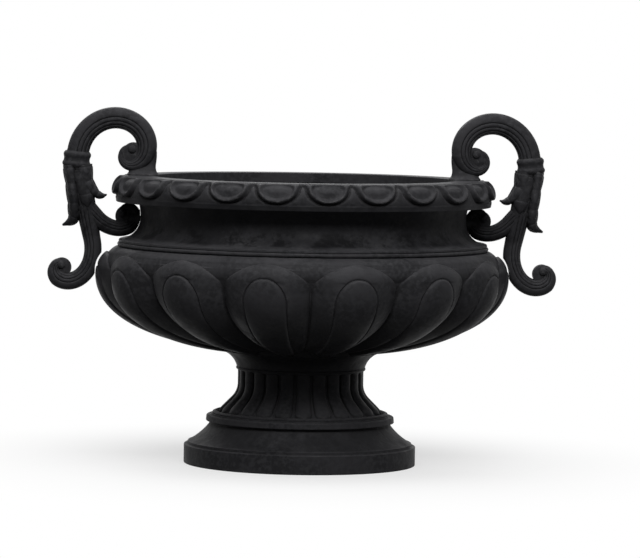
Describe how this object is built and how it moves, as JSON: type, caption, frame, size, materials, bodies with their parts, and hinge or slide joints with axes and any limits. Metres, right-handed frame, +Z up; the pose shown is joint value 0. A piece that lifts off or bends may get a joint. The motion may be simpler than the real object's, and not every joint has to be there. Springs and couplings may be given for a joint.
{
  "type": "garden urn planter",
  "caption": "Wide footed garden urn with a gadrooned bowl, an egg-bordered rim and scroll handles, bolted together from castings with a hollow bowl for soil.",
  "frame": {"origin": "middle of the underside of the base, on the surface that the urn stands on", "axes": "+Z up along the urn's axis, +X through the right-hand handle, -Y towards the viewer in the picture"},
  "size_m": [0.7908, 0.63, 0.549],
  "materials": {
    "painted_casting": "matt black paint over a fine sand-cast grain",
    "plated_steel": "dull zinc plating"
  },
  "bodies": {
    "root": {"base": "painted_casting", "stem": "painted_casting", "bowl": "painted_casting", "rim": "painted_casting", "handle_left": "painted_casting", "handle_right": "painted_casting", "tie_rod": "plated_steel", "tie_rod_top_washer": "plated_steel", "tie_rod_top_nut": "plated_steel", "tie_rod_bottom_washer": "plated_steel", "tie_rod_bottom_nut": "plated_steel", "rim_bolts": "plated_steel", "rim_bolt_washers": "plated_steel", "rim_nuts": "plated_steel", "handle_top_bolts": "plated_steel", "handle_top_washers": "plated_steel", "handle_neck_bolts": "plated_steel", "handle_neck_washers": "plated_steel"}
  },
  "joints": []
}
